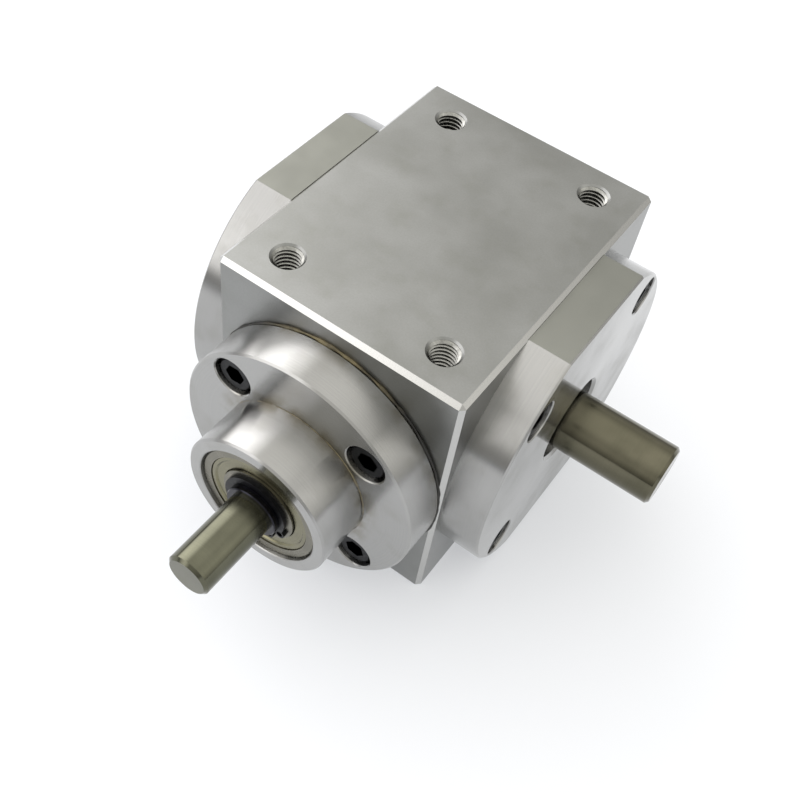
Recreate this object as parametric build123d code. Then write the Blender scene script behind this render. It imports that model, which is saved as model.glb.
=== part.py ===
"""Right angle gearbox: a machined block, a pair of straight bevel gears, two shafts on ball bearings.

Z is up and z = 0 is the base. The input shaft leaves the front along -Y and the output shaft leaves the
right side along +X. Both axes cross at the middle of the block. Inside the functions a turned part
stands on its own axis: its height is the distance from the crossing point, outwards. All sizes are in mm.
"""

import math
import os
from dataclasses import dataclass

from build123d import *

# Housing block, as wide as the input flange
block_length = 92.0
block_height = 82.0
block_chamfer = 1.2

# Threaded mounting holes, set a little wider in the base than in the top
top_spacing_x = 45.0
top_spacing_y = 70.0
base_spacing_x = 50.0
base_spacing_y = 76.0
mount_thread = 8.0
mount_thread_depth = 14.0
mount_countersink = 0.5
drill_point_angle = 118.0

# Bevel gears
gear_module = 2.0
pinion_teeth = 20
gear_teeth = 30
pressure_angle = 20.0
face_width = 11.0
addendum_factor = 1.0
dedendum_factor = 1.25
backlash = 0.16

# Room between the gears' tips and the bores, which brings the bores to 45 and 64 mm
front_bore_room = 0.836
side_bore_room = 0.891

# The wedge that cuts a tooth space, as shares of the tooth it passes
wedge_start = 0.8
wedge_end = 1.4
wedge_height = 1.8

# Pinion body
pinion_rim = 3.2
pinion_front_rim = 0.8
pinion_hub_diameter = 28.0
pinion_boss_length = 1.5

# Output gear body
gear_rim = 3.0
gear_front_rim = 2.2
gear_front_hub_diameter = 28.0
gear_back_hub_diameter = 32.0
gear_spacer_length = 2.0

# Input flange
flange_thickness = 12.0
flange_rim = 1.5
flange_spigot = 5.0
flange_shim = 0.5
hub_length = 15.0
hub_wall = 3.5
bearing_recess = 1.0
shoulder_height = 2.0

# Covers
cover_thickness = 11.5
cover_rim = 1.0
cover_spigot = 5.0
cover_flat_drop = 1.0
mouth_diameter = 26.0
mouth_chamfer = 0.8
bearing_shim = 0.5
spigot_lip = 0.5
relief_diameter = 26.0
relief_depth = 1.0

# Shafts
input_end_diameter = 12.0
input_free_length = 24.0
input_step = 1.8
output_free_length = 28.5
gear_seat_diameter = 20.0
collar_diameter = 22.0
collar_position = 10.0
output_tail = 0.3
output_relief_width = 1.5
output_relief_depth = 0.25
shaft_chamfer = 0.8

# Cover and flange screws, M6 socket head
screw_thread = 6.0
screw_length = 16.0
screw_head = 9.8
screw_head_height = 6.0
screw_socket = 5.0
screw_wall = 2.5
screw_head_room = 0.6
screw_hole_room = 0.3
screw_bottom_room = 3.0
flange_counterbore = 7.0
cover_counterbore = 6.8
pocket_break = 0.3

# Screw and washer on the pinion's end, M5 low head
end_screw_thread = 5.0
end_screw_length = 12.0
end_screw_head = 8.5
end_screw_head_height = 3.2
end_screw_socket = 3.0
washer_diameter = 19.0
washer_thickness = 1.8
clamp_draw = 0.5

# Keys
pinion_key_width = 5.0
pinion_key_shaft_depth = 3.0
pinion_key_hub_depth = 2.3
pinion_key_length = 12.0
gear_key_width = 6.0
gear_key_shaft_depth = 3.5
gear_key_hub_depth = 2.8
gear_key_length = 14.0

# Retaining ring on the input shaft
clip_groove_diameter = 14.3
clip_thickness = 1.0
clip_groove_width = 1.1
clip_wide = 2.3
clip_narrow = 1.6
clip_gap = 3.0
clip_lug = 2.6
clip_lug_hole = 1.7
clip_turn = -45.0

# O-rings on the spigots
o_ring_section = 2.0
o_ring_groove_depth = 1.6
o_ring_groove_width = 2.4

# Fits and small gaps, all on the radius
fit = 0.02
key_fit = 0.05
ball_gap = 0.03
pocket_gap = 0.12
shield_gap = 0.25
edge_break = 0.5
overrun = 1.0


@dataclass
class Bearing:
    """Sizes of one deep groove ball bearing."""

    bore: float
    outside: float
    width: float
    ball: float
    balls: int = 8
    ring_chamfer: float = 0.6
    groove_share: float = 0.52
    land_share: float = 0.2
    cage_share: float = 0.63
    cage_thickness: float = 1.2
    shield_sheet: float = 0.4
    shield_depth: float = 1.2
    shield_inset: float = 0.25
    shield_curl: float = 1.1
    shield_round: float = 0.2

    @property
    def pitch_radius(self):
        return (self.bore + self.outside) / 4

    @property
    def inner_land_radius(self):
        """Radius of the inner ring beside its ball groove."""
        return self.pitch_radius - self.ball / 2 + self.land_share * self.ball

    @property
    def outer_land_radius(self):
        """Radius of the outer ring beside its ball groove."""
        return self.pitch_radius + self.ball / 2 - self.land_share * self.ball


input_bearing = Bearing(bore=15.0, outside=35.0, width=11.0, ball=5.953)
output_bearing = Bearing(bore=17.0, outside=40.0, width=12.0, ball=6.747)

# Where things lie, worked out from the sizes above
axis_height = block_height / 2
pinion_cone = math.atan2(pinion_teeth, gear_teeth)
gear_cone = math.pi / 2 - pinion_cone
cone_distance = gear_module * math.hypot(pinion_teeth, gear_teeth) / 2
toe_distance = cone_distance - face_width
addendum = gear_module * addendum_factor
dedendum = gear_module * dedendum_factor


def cone_point(distance, cone, offset):
    """Radius and height of a point on a cone, moved square to the cone by an offset."""
    radius = distance * math.sin(cone) + offset * math.cos(cone)
    height = distance * math.cos(cone) - offset * math.sin(cone)
    return radius, height


pinion_tip_radius = cone_point(cone_distance, pinion_cone, addendum)[0]
gear_tip_radius = cone_point(cone_distance, gear_cone, addendum)[0]
front_bore_radius = pinion_tip_radius + front_bore_room
side_bore_radius = gear_tip_radius + side_bore_room

screw_radius = screw_thread / 2
head_bore_radius = screw_head / 2 + screw_head_room
flange_screw_circle = front_bore_radius + screw_wall + screw_radius
cover_screw_circle = side_bore_radius + screw_wall + screw_radius
flange_radius = flange_screw_circle + head_bore_radius + flange_rim
cover_radius = cover_screw_circle + head_bore_radius + cover_rim
cover_flat = block_height / 2 - cover_flat_drop
block_width = 2 * flange_radius

# Heights along the input axis
front_face = block_length / 2
flange_back = front_face + flange_shim
flange_front = flange_back + flange_thickness
hub_end = flange_front + hub_length
inner_bearing_start = front_face - flange_spigot
inner_bearing_end = inner_bearing_start + input_bearing.width
outer_bearing_end = hub_end - bearing_recess
outer_bearing_start = outer_bearing_end - input_bearing.width
hub_radius = input_bearing.outside / 2 + hub_wall
pinion_front = cone_point(toe_distance, pinion_cone,
                          -dedendum * toe_distance / cone_distance - pinion_front_rim)[1]
input_shaft_start = pinion_front + clamp_draw
input_journal_end = hub_end + input_step
input_shaft_end = hub_end + input_free_length

# Heights along the output axis, the same on both sides
side_face = block_width / 2
cover_outside = side_face + cover_thickness
cover_inside = side_face - cover_spigot
output_bearing_start = cover_inside + spigot_lip
output_bearing_end = output_bearing_start + output_bearing.width
cover_seat_end = output_bearing_end + bearing_shim
gear_back = output_bearing_start - gear_spacer_length
output_shaft_end = cover_outside + output_free_length

# Each axis has its own frame at the crossing point, with Z outwards and Y up
crossing = (0, 0, axis_height)
input_frame = Plane(origin=crossing, x_dir=(1, 0, 0), z_dir=(0, -1, 0))
output_frame = Plane(origin=crossing, x_dir=(0, 1, 0), z_dir=(1, 0, 0))
blind_frame = Plane(origin=crossing, x_dir=(0, -1, 0), z_dir=(-1, 0, 0))


def turned(profile):
    """Solid turned about Z from a closed outline of (radius, height) points."""
    outline = make_face(Polyline(*profile, close=True))
    return revolve(Plane.XZ * outline, Axis.Z)


def tube(inner_radius, outer_radius, start, end):
    """Plain ring between two heights."""
    return turned([(inner_radius, start), (outer_radius, start), (outer_radius, end), (inner_radius, end)])


def rod(radius, start, end):
    """Plain cylinder between two heights."""
    return Pos(0, 0, start) * extrude(Circle(radius), amount=end - start)


def around(shape, radius, count=4, first=45.0):
    """Copies of a shape on a circle."""
    return [Rot(0, 0, first + 360 * i / count) * Pos(radius, 0, 0) * shape for i in range(count)]


def group(shapes):
    """Separate solids kept together in one node."""
    solids = []
    for shape in shapes:
        solids.extend(shape.solids())
    return Compound(children=solids)


# Bevel gears


def involute_turn(base_cone, cone):
    """Angle about the axis by which a spherical involute has turned when it reaches a cone."""
    rolled = math.acos(min(1.0, math.cos(cone) / math.cos(base_cone)))
    lead = math.acos(min(1.0, math.tan(base_cone) / math.tan(cone)))
    return rolled / math.sin(base_cone) - lead


def space_face(teeth, pitch_cone, height):
    """Cross section of one tooth space, on the plane at a height above the apex."""
    base_cone = math.asin(math.sin(pitch_cone) * math.cos(math.radians(pressure_angle)))
    root_cone = pitch_cone - math.atan2(dedendum, cone_distance)
    outer_cone = pitch_cone + wedge_height * math.atan2(addendum, cone_distance)
    pitch_radius = cone_distance * math.sin(pitch_cone)
    half_space = math.pi / (2 * teeth) + backlash / 4 / pitch_radius
    start_cone = max(root_cone, base_cone)
    at_pitch = involute_turn(base_cone, pitch_cone)

    def point(cone, side):
        turn = half_space + involute_turn(base_cone, max(cone, start_cone)) - at_pitch
        radius = height * math.tan(cone)
        return (radius * math.cos(turn), side * radius * math.sin(turn), height)

    steps = 5
    cones = [start_cone + (outer_cone - start_cone) * i / (steps - 1) for i in range(steps)]
    left = [point(cone, 1) for cone in cones]
    right = [point(cone, -1) for cone in reversed(cones)]
    root_left = point(root_cone, 1)
    root_right = point(root_cone, -1)
    root_middle = (height * math.tan(root_cone), 0, height)
    edges = [Spline(*left), Line(left[-1], right[0]), Spline(*right)]
    edges.append(ThreePointArc(root_right, root_middle, root_left))
    if start_cone > root_cone:
        edges.append(Line(right[-1], root_right))
        edges.append(Line(root_left, left[0]))
    return make_face(edges)


def cut_teeth(blank, teeth, pitch_cone, first_space):
    """Cuts every tooth space of a straight bevel gear, each a wedge towards the apex."""
    near = wedge_start * toe_distance * math.cos(pitch_cone)
    far = wedge_end * cone_distance * math.cos(pitch_cone)
    wedge = loft([space_face(teeth, pitch_cone, near), space_face(teeth, pitch_cone, far)], ruled=True)
    return blank - around(wedge, 0, teeth, first_space)


def keyway_in_hub(bore_radius, width, depth, start, end):
    """Broached slot along the whole bore, at the top."""
    height = bore_radius + depth
    return Pos(0, height / 2, (start + end) / 2) * Box(width, height, end - start)


def pinion():
    """Driving bevel pinion, clamped between the end washer and the inner bearing."""
    toe_dedendum = dedendum * toe_distance / cone_distance
    toe_addendum = addendum * toe_distance / cone_distance
    bore_radius = input_bearing.bore / 2 + fit
    hub_radius_back = pinion_hub_diameter / 2
    boss_radius = input_bearing.inner_land_radius - edge_break
    heel_root = cone_point(cone_distance, pinion_cone, -dedendum - pinion_rim)
    boss_start = inner_bearing_start - pinion_boss_length
    blank = turned([
        (bore_radius, pinion_front),
        cone_point(toe_distance, pinion_cone, -toe_dedendum - pinion_front_rim),
        cone_point(toe_distance, pinion_cone, toe_addendum),
        cone_point(cone_distance, pinion_cone, addendum),
        heel_root,
        (hub_radius_back, heel_root[1]),
        (hub_radius_back, boss_start),
        (boss_radius, boss_start),
        (boss_radius, inner_bearing_start),
        (bore_radius, inner_bearing_start),
    ])
    half_pitch = 180 / pinion_teeth
    toothed = cut_teeth(blank, pinion_teeth, pinion_cone, 180 + half_pitch)
    slot = keyway_in_hub(input_bearing.bore / 2, pinion_key_width, pinion_key_hub_depth,
                         pinion_front - overrun, inner_bearing_start + overrun)
    return toothed - slot


def output_gear():
    """Driven bevel gear, clamped between the shaft's collar and the spacer."""
    toe_dedendum = dedendum * toe_distance / cone_distance
    toe_addendum = addendum * toe_distance / cone_distance
    bore_radius = gear_seat_diameter / 2 + fit
    toe_root = cone_point(toe_distance, gear_cone, -toe_dedendum - gear_front_rim)
    heel_root = cone_point(cone_distance, gear_cone, -dedendum - gear_rim)
    blank = turned([
        (bore_radius, collar_position),
        (gear_front_hub_diameter / 2, collar_position),
        (gear_front_hub_diameter / 2, toe_root[1]),
        toe_root,
        cone_point(toe_distance, gear_cone, toe_addendum),
        cone_point(cone_distance, gear_cone, addendum),
        heel_root,
        (gear_back_hub_diameter / 2, heel_root[1]),
        (gear_back_hub_diameter / 2, gear_back),
        (bore_radius, gear_back),
    ])
    toothed = cut_teeth(blank, gear_teeth, gear_cone, 0)
    slot = keyway_in_hub(gear_seat_diameter / 2, gear_key_width, gear_key_hub_depth,
                         collar_position - overrun, gear_back + overrun)
    return toothed - slot


# Ball bearings, each from height 0 to its width


def race_ring(bearing, inside, shielded):
    """Inner or outer ring with its ball groove."""
    middle = bearing.width / 2
    chamfer_size = bearing.ring_chamfer
    groove = bearing.groove_share * bearing.ball
    if inside:
        seat = bearing.bore / 2 + fit
        land = bearing.inner_land_radius
        bottom = bearing.pitch_radius - bearing.ball / 2 - ball_gap
        side = 1
    else:
        seat = bearing.outside / 2 - fit
        land = bearing.outer_land_radius
        bottom = bearing.pitch_radius + bearing.ball / 2 + ball_gap
        side = -1
    centre = bottom + side * groove
    half = math.sqrt(groove**2 - (land - centre) ** 2)
    face = land
    step = 0.0
    if shielded and not inside:
        face = land + edge_break
        step = bearing.shield_depth
    lower = [(land, middle - half), (land, step), (face, step), (face, 0)]
    upper = [(face, bearing.width), (face, bearing.width - step), (land, bearing.width - step),
             (land, middle + half)]
    if step == 0:
        lower = [(land, middle - half), (land, 0)]
        upper = [(land, bearing.width), (land, middle + half)]
    outside = [
        (seat + side * chamfer_size, 0),
        (seat, chamfer_size),
        (seat, bearing.width - chamfer_size),
        (seat + side * chamfer_size, bearing.width),
    ]
    edges = [Polyline(*lower, *outside, *upper)]
    edges.append(ThreePointArc((land, middle + half), (bottom, middle), (land, middle - half)))
    return revolve(Plane.XZ * make_face(edges), Axis.Z)


def ball_set(bearing):
    """All balls of one bearing."""
    ball = Pos(0, 0, bearing.width / 2) * Sphere(bearing.ball / 2)
    return group(around(ball, bearing.pitch_radius, bearing.balls, 0))


def cage(bearing):
    """Ring with a round pocket for each ball."""
    half_width = bearing.cage_share * bearing.ball
    middle = bearing.width / 2
    inner = bearing.pitch_radius - bearing.cage_thickness / 2
    outer = bearing.pitch_radius + bearing.cage_thickness / 2
    ring = tube(inner, outer, middle - half_width, middle + half_width)
    radius = bearing.ball / 2 + pocket_gap
    pocket = Pos(0, 0, middle) * Rot(0, 90, 0) * Cylinder(radius, 4 * bearing.cage_thickness)
    return ring - around(pocket, bearing.pitch_radius, bearing.balls, 0)


def shield(bearing):
    """Pressed sheet shield with a raised rim, just below the ring's outer face at height 0."""
    rim = bearing.outer_land_radius + edge_break - fit
    hole = bearing.inner_land_radius + shield_gap
    sheet = bearing.shield_sheet
    corner = bearing.shield_round
    top = -bearing.shield_inset
    bottom = -bearing.shield_depth + corner
    curl = rim - bearing.shield_curl
    return turned([
        (rim, bottom),
        (rim, top - corner),
        (rim - corner, top),
        (curl, top),
        (curl - sheet, top - sheet),
        (hole, top - sheet),
        (hole, top - 2 * sheet),
        (curl - sheet / 2, top - 2 * sheet),
        (curl + sheet / 2, top - sheet),
        (rim - sheet, top - sheet),
        (rim - sheet, bottom),
    ])


def shields(bearing):
    """Both shields of one bearing."""
    one = shield(bearing)
    other = Rot(180, 0, 0) * one
    return group([Pos(0, 0, bearing.width) * one, other])


def bearing_parts(bearing, frame, start, name, shielded):
    """Nodes of one bearing, placed on an axis with its inner face at a height."""
    shapes = {
        "outer_ring": race_ring(bearing, False, shielded),
        "inner_ring": race_ring(bearing, True, shielded),
        "balls": ball_set(bearing),
        "cage": cage(bearing),
    }
    if shielded:
        shapes["shields"] = shields(bearing)
    place = frame.location * Pos(0, 0, start)
    return {f"{name}_{kind}": place * shape for kind, shape in shapes.items()}


# Screws, keys, rings


def cap_screw(thread, length, head, head_height, socket):
    """Socket head screw, its head standing on height 0."""
    shank = rod(thread / 2 - fit, -length, 0)
    shank = chamfer(shank.faces().sort_by(Axis.Z)[0].edges(), edge_break)
    cap = rod(head / 2, 0, head_height)
    cap = chamfer(cap.faces().sort_by(Axis.Z)[-1].edges(), edge_break)
    depth = head_height / 2
    hexagon = RegularPolygon(socket / 2, 6, major_radius=False)
    key_hole = Pos(0, 0, head_height - depth) * extrude(hexagon, depth)
    return shank + cap - key_hole


def cover_screws(frame, seat, circle):
    """The four screws of a cover or flange."""
    screw = cap_screw(screw_thread, screw_length, screw_head, screw_head_height, screw_socket)
    placed = [Pos(0, 0, seat) * copy for copy in around(screw, circle)]
    return group([frame.location * copy for copy in placed])


def round_key(width, height, length):
    """Key with round ends, lying along Z with its flat bottom at Y = 0."""
    outline = Rot(0, 0, 90) * SlotOverall(length, width)
    return Rot(-90, 0, 0) * extrude(outline, height)


def retaining_ring():
    """Open ring with two lugs, flat on height 0, its gap towards +X."""
    inner = clip_groove_diameter / 2 + fit
    outer = inner + (clip_wide + clip_narrow) / 2
    shift = (clip_wide - clip_narrow) / 2
    lug_place = inner + clip_lug / 2
    lug_side = clip_gap / 2 + clip_lug / 2 - edge_break
    body = Pos(-shift, 0) * Circle(outer) - Circle(inner)
    body -= Pos(inner + clip_wide, 0) * Rectangle(2 * clip_wide + clip_lug, clip_gap)
    for side in (1, -1):
        lug = Pos(lug_place, side * lug_side) * Circle(clip_lug / 2)
        body += lug - Circle(inner)
    for side in (1, -1):
        body -= Pos(lug_place, side * lug_side) * Circle(clip_lug_hole / 2)
    return extrude(body, amount=clip_thickness)


def o_ring(spigot_radius):
    """Ring of round section in the groove of a spigot."""
    groove_radius = spigot_radius - o_ring_groove_depth
    section = (o_ring_groove_depth - 2 * fit) / 2
    return Torus(groove_radius + fit + section, section)


# Shafts


def keyway_in_shaft(shaft_radius, width, depth, length, middle):
    """Milled slot with round ends, at the top of the shaft."""
    slot = round_key(width + 2 * key_fit, depth + overrun, length + 2 * key_fit)
    return Pos(0, shaft_radius - depth, middle) * slot


def input_shaft():
    """Stepped input shaft with a keyway, a ring groove and a tapped inner end."""
    journal = input_bearing.bore / 2
    free = input_end_diameter / 2
    groove = clip_groove_diameter / 2
    groove_end = outer_bearing_end + clip_groove_width
    small = edge_break / 2
    body = turned([
        (0, input_shaft_start),
        (journal - edge_break, input_shaft_start),
        (journal, input_shaft_start + edge_break),
        (journal, outer_bearing_end),
        (groove, outer_bearing_end),
        (groove, groove_end),
        (journal, groove_end),
        (journal, input_journal_end - small),
        (journal - small, input_journal_end),
        (free, input_journal_end),
        (free, input_shaft_end - shaft_chamfer),
        (free - shaft_chamfer, input_shaft_end),
        (0, input_shaft_end),
    ])
    tapped = rod(end_screw_thread / 2, input_shaft_start, input_shaft_start + end_screw_length)
    middle = (pinion_front + inner_bearing_start) / 2
    slot = keyway_in_shaft(journal, pinion_key_width, pinion_key_shaft_depth, pinion_key_length, middle)
    return body - tapped - slot


def output_shaft():
    """Output shaft along the whole box, with a collar, a gear seat and a keyway."""
    journal = output_bearing.bore / 2
    seat = gear_seat_diameter / 2
    collar = collar_diameter / 2
    tail = output_bearing_end - output_tail
    seat_end = gear_back - clamp_draw
    body = turned([
        (0, -tail),
        (journal - edge_break, -tail),
        (journal, -tail + edge_break),
        (journal, -seat_end),
        (seat, -seat_end),
        (seat, -collar_position),
        (collar, -collar_position),
        (collar, output_bearing_start),
        (journal, output_bearing_start),
        (journal, cover_outside - output_relief_width),
        (journal - output_relief_depth, cover_outside - output_relief_width),
        (journal - output_relief_depth, cover_outside),
        (journal, cover_outside),
        (journal, output_shaft_end - shaft_chamfer),
        (journal - shaft_chamfer, output_shaft_end),
        (0, output_shaft_end),
    ])
    middle = -(collar_position + gear_back) / 2
    slot = keyway_in_shaft(seat, gear_key_width, gear_key_shaft_depth, gear_key_length, middle)
    return body - slot


# Casings


def threaded_hole(radius, depth, countersink):
    """Threaded hole as a cylinder of the thread's outer size, mouth at height 0, going down."""
    cone = radius / math.tan(math.radians(drill_point_angle / 2))
    return turned([
        (0, overrun),
        (radius + countersink, overrun),
        (radius + countersink, 0),
        (radius, -countersink),
        (radius, -depth),
        (0, -depth - cone),
    ])


def housing():
    """Machined block with the side bore through it, the front bore and all threaded holes."""
    block = Box(block_width, block_length, block_height)
    block = chamfer(block.edges(), block_chamfer)
    block = Pos(0, 0, axis_height) * block
    side_bore = output_frame.location * rod(side_bore_radius, -block_width, block_width)
    front_bore = input_frame.location * rod(front_bore_radius, 0, block_length)
    block = block - side_bore - front_bore
    depth = screw_depth(cover_thickness, cover_counterbore, 0)
    cover_hole = threaded_hole(screw_radius, depth, edge_break)
    for frame in (output_frame, blind_frame):
        holes = [Pos(0, 0, side_face) * hole for hole in around(cover_hole, cover_screw_circle)]
        block = block - [frame.location * hole for hole in holes]
    depth = screw_depth(flange_thickness, flange_counterbore, flange_shim)
    flange_hole = threaded_hole(screw_radius, depth, edge_break)
    holes = [Pos(0, 0, front_face) * hole for hole in around(flange_hole, flange_screw_circle)]
    block = block - [input_frame.location * hole for hole in holes]
    hole = threaded_hole(mount_thread / 2, mount_thread_depth, mount_countersink)
    top_places = GridLocations(top_spacing_x, top_spacing_y, 2, 2)
    base_places = GridLocations(base_spacing_x, base_spacing_y, 2, 2)
    top = [Pos(0, 0, block_height) * place * hole for place in top_places]
    base = [place * Rot(180, 0, 0) * hole for place in base_places]
    return block - top - base


def screw_depth(thickness, counterbore, shim):
    """Depth of a threaded hole that a cover screw enters, with room below the screw."""
    return screw_length - (thickness - counterbore) - shim + screw_bottom_room


def counterbored_hole(thickness, counterbore):
    """Screw hole with its head pocket and a broken edge, outer face at height 0."""
    shank = screw_radius + screw_hole_room
    return turned([
        (0, overrun),
        (head_bore_radius + pocket_break, overrun),
        (head_bore_radius + pocket_break, 0),
        (head_bore_radius, -pocket_break),
        (head_bore_radius, -counterbore),
        (shank, -counterbore),
        (shank, -thickness - overrun),
        (0, -thickness - overrun),
    ])


def o_ring_groove(spigot_radius, middle):
    """Ring shaped cut for an O-ring in a spigot."""
    half = o_ring_groove_width / 2
    return tube(spigot_radius - o_ring_groove_depth, spigot_radius + overrun, middle - half, middle + half)


def input_flange():
    """Turned flange: spigot, disc and hub in one piece, bored for the two input bearings."""
    spigot = front_bore_radius - fit
    seat = input_bearing.outside / 2
    shoulder = seat - shoulder_height
    body = turned([
        (seat, inner_bearing_start),
        (spigot - edge_break, inner_bearing_start),
        (spigot, inner_bearing_start + edge_break),
        (spigot, flange_back),
        (flange_radius - edge_break, flange_back),
        (flange_radius, flange_back + edge_break),
        (flange_radius, flange_front - edge_break),
        (flange_radius - edge_break, flange_front),
        (hub_radius, flange_front),
        (hub_radius, hub_end - edge_break),
        (hub_radius - edge_break, hub_end),
        (seat + edge_break / 2, hub_end),
        (seat, hub_end - edge_break / 2),
        (seat, outer_bearing_start),
        (shoulder, outer_bearing_start),
        (shoulder, inner_bearing_end),
        (seat, inner_bearing_end),
    ])
    body -= o_ring_groove(spigot, front_face - flange_spigot / 2)
    hole = counterbored_hole(flange_thickness, flange_counterbore)
    return body - [Pos(0, 0, flange_front) * copy for copy in around(hole, flange_screw_circle)]


def shaft_mouth():
    """Bore that the output shaft passes through, with a chamfer outside."""
    mouth = mouth_diameter / 2
    return turned([
        (0, cover_inside),
        (mouth - mouth_chamfer, cover_inside),
        (mouth - mouth_chamfer, cover_outside - mouth_chamfer),
        (mouth, cover_outside),
        (mouth, cover_outside + overrun),
        (0, cover_outside + overrun),
    ])


def cover(shaft_passes):
    """Round cover with a flat above and below, a spigot and a bearing seat."""
    spigot = side_bore_radius - fit
    seat = output_bearing.outside / 2
    outline = Circle(cover_radius) & Rectangle(2 * cover_radius, 2 * cover_flat)
    disc = Pos(0, 0, side_face) * extrude(outline, amount=cover_thickness)
    disc = chamfer(disc.faces().sort_by(Axis.Z)[-1].edges(), edge_break)
    disc += turned([
        (0, cover_inside),
        (spigot - edge_break, cover_inside),
        (spigot, cover_inside + edge_break),
        (spigot, side_face),
        (0, side_face),
    ])
    disc -= rod(seat, cover_inside, cover_seat_end)
    disc -= rod(relief_diameter / 2, cover_inside, cover_seat_end + relief_depth)
    if shaft_passes:
        disc -= shaft_mouth()
    disc -= o_ring_groove(spigot, side_face - cover_spigot / 2)
    hole = counterbored_hole(cover_thickness, cover_counterbore)
    return disc - [Pos(0, 0, cover_outside) * copy for copy in around(hole, cover_screw_circle)]


def flange_shim_ring():
    """Thin ring between the flange and the block, with screw holes."""
    ring = tube(front_bore_radius, flange_radius - edge_break, front_face, flange_back)
    hole = rod(screw_radius + screw_hole_room, front_face - overrun, flange_back + overrun)
    return ring - around(hole, flange_screw_circle)


def bearing_shim_ring():
    """Thin ring that sets the bearing in a cover and so the mesh of the gears."""
    seat = output_bearing.outside / 2 - fit
    return tube(output_bearing.outer_land_radius + edge_break, seat, output_bearing_end, cover_seat_end)


def end_washer():
    """Washer that clamps the pinion on the shaft."""
    return tube(end_screw_thread / 2 + screw_hole_room, washer_diameter / 2,
                pinion_front - washer_thickness, pinion_front)


def end_screw():
    """Screw in the inner end of the input shaft, its head towards the crossing point."""
    length = end_screw_length - edge_break
    screw = cap_screw(end_screw_thread, length, end_screw_head, end_screw_head_height, end_screw_socket)
    return Pos(0, 0, pinion_front - washer_thickness) * Rot(180, 0, 0) * screw


def shaft_key(shaft_radius, width, shaft_depth, hub_depth, length, middle):
    """Parallel key in its shaft slot, just clear of the hub's slot."""
    height = shaft_depth + hub_depth - 2 * key_fit
    return Pos(0, shaft_radius - shaft_depth + key_fit, middle) * round_key(width, height, length)


def input_parts():
    """Everything on the input axis apart from the block."""
    place = input_frame.location
    journal = input_bearing.bore / 2
    sleeve_outside = input_bearing.inner_land_radius - edge_break
    key_middle = (pinion_front + inner_bearing_start) / 2
    ring = Pos(0, 0, outer_bearing_end) * Rot(0, 0, clip_turn) * retaining_ring()
    parts = {
        "input_flange": place * input_flange(),
        "input_flange_shim": place * flange_shim_ring(),
        "input_flange_o_ring": place * Pos(0, 0, front_face - flange_spigot / 2)
        * o_ring(front_bore_radius - fit),
        "input_flange_screws": cover_screws(input_frame, flange_front - flange_counterbore,
                                            flange_screw_circle),
        "input_shaft": place * input_shaft(),
        "input_pinion": place * pinion(),
        "input_pinion_key": place * shaft_key(journal, pinion_key_width, pinion_key_shaft_depth,
                                              pinion_key_hub_depth, pinion_key_length, key_middle),
        "input_pinion_washer": place * end_washer(),
        "input_pinion_screw": place * end_screw(),
        "input_bearing_sleeve": place * tube(journal + fit, sleeve_outside, inner_bearing_end,
                                             outer_bearing_start),
        "input_circlip": place * ring,
    }
    parts |= bearing_parts(input_bearing, input_frame, outer_bearing_start, "input_outer_bearing", True)
    parts |= bearing_parts(input_bearing, input_frame, inner_bearing_start, "input_inner_bearing", False)
    return parts


def output_parts():
    """Everything on the output axis apart from the block."""
    right = output_frame.location
    left = blind_frame.location
    journal = output_bearing.bore / 2
    ring_middle = side_face - cover_spigot / 2
    screw_seat = cover_outside - cover_counterbore
    key_middle = (collar_position + gear_back) / 2
    key = shaft_key(gear_seat_diameter / 2, gear_key_width, gear_key_shaft_depth, gear_key_hub_depth,
                    gear_key_length, key_middle)
    parts = {
        "output_cover": right * cover(True),
        "output_cover_o_ring": right * Pos(0, 0, ring_middle) * o_ring(side_bore_radius - fit),
        "output_cover_screws": cover_screws(output_frame, screw_seat, cover_screw_circle),
        "output_bearing_shim": right * bearing_shim_ring(),
        "blind_cover": left * cover(False),
        "blind_cover_o_ring": left * Pos(0, 0, ring_middle) * o_ring(side_bore_radius - fit),
        "blind_cover_screws": cover_screws(blind_frame, screw_seat, cover_screw_circle),
        "blind_bearing_shim": left * bearing_shim_ring(),
        "output_shaft": right * output_shaft(),
        "output_gear": left * output_gear(),
        "output_gear_key": left * key,
        "output_gear_spacer": left * tube(journal + fit, collar_diameter / 2, gear_back,
                                          output_bearing_start),
    }
    parts |= bearing_parts(output_bearing, output_frame, output_bearing_start, "output_bearing", True)
    parts |= bearing_parts(output_bearing, blind_frame, output_bearing_start, "blind_bearing", False)
    return parts


def main():
    """Builds every node and writes one STEP file for each."""
    os.makedirs("parts", exist_ok=True)
    nodes = {"housing": housing()}
    nodes |= input_parts()
    nodes |= output_parts()
    for name, shape in nodes.items():
        shape.label = name
        export_step(shape, f"parts/{name}.step")
    print("nodes written:", len(nodes))


if __name__ == "__main__":
    main()
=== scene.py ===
# %% [markdown]
# A right angle gearbox, seen from above its front right corner.
# The machined block, the flange, the covers, shafts and bearings come from CAD and stay as they are.
# This lesson gives them their real finishes and adds what CAD left out: the threads in the mounting holes,
# knurled screws with hexagon sockets, and the thin lines of sealant and oil along two seams.

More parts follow.
